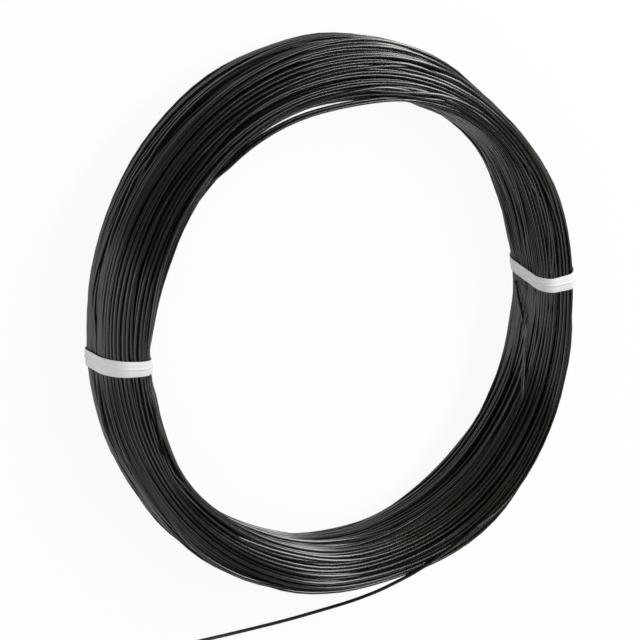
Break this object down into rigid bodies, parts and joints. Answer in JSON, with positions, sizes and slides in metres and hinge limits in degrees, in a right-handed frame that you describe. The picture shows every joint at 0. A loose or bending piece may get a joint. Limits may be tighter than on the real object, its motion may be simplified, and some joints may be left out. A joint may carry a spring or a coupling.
{
  "type": "coil of training wire",
  "caption": "Ring-shaped coil of thin dark anodised aluminium wire lying on its back, held by two white ties, with one loose end.",
  "frame": {"origin": "centre of the coil's eye, the round opening in its middle", "axes": "+Z along the coil's axis towards its front, which faces up, +X towards the right tie, with the coil lying on its back"},
  "size_m": [0.1595, 0.1715, 0.0195],
  "materials": {
    "wire": "satin black anodised",
    "tie": "smooth soft plastic"
  },
  "bodies": {
    "root": {"wire_coil": "wire", "loose_end": "wire", "left_tie": "tie", "right_tie": "tie"}
  },
  "joints": []
}
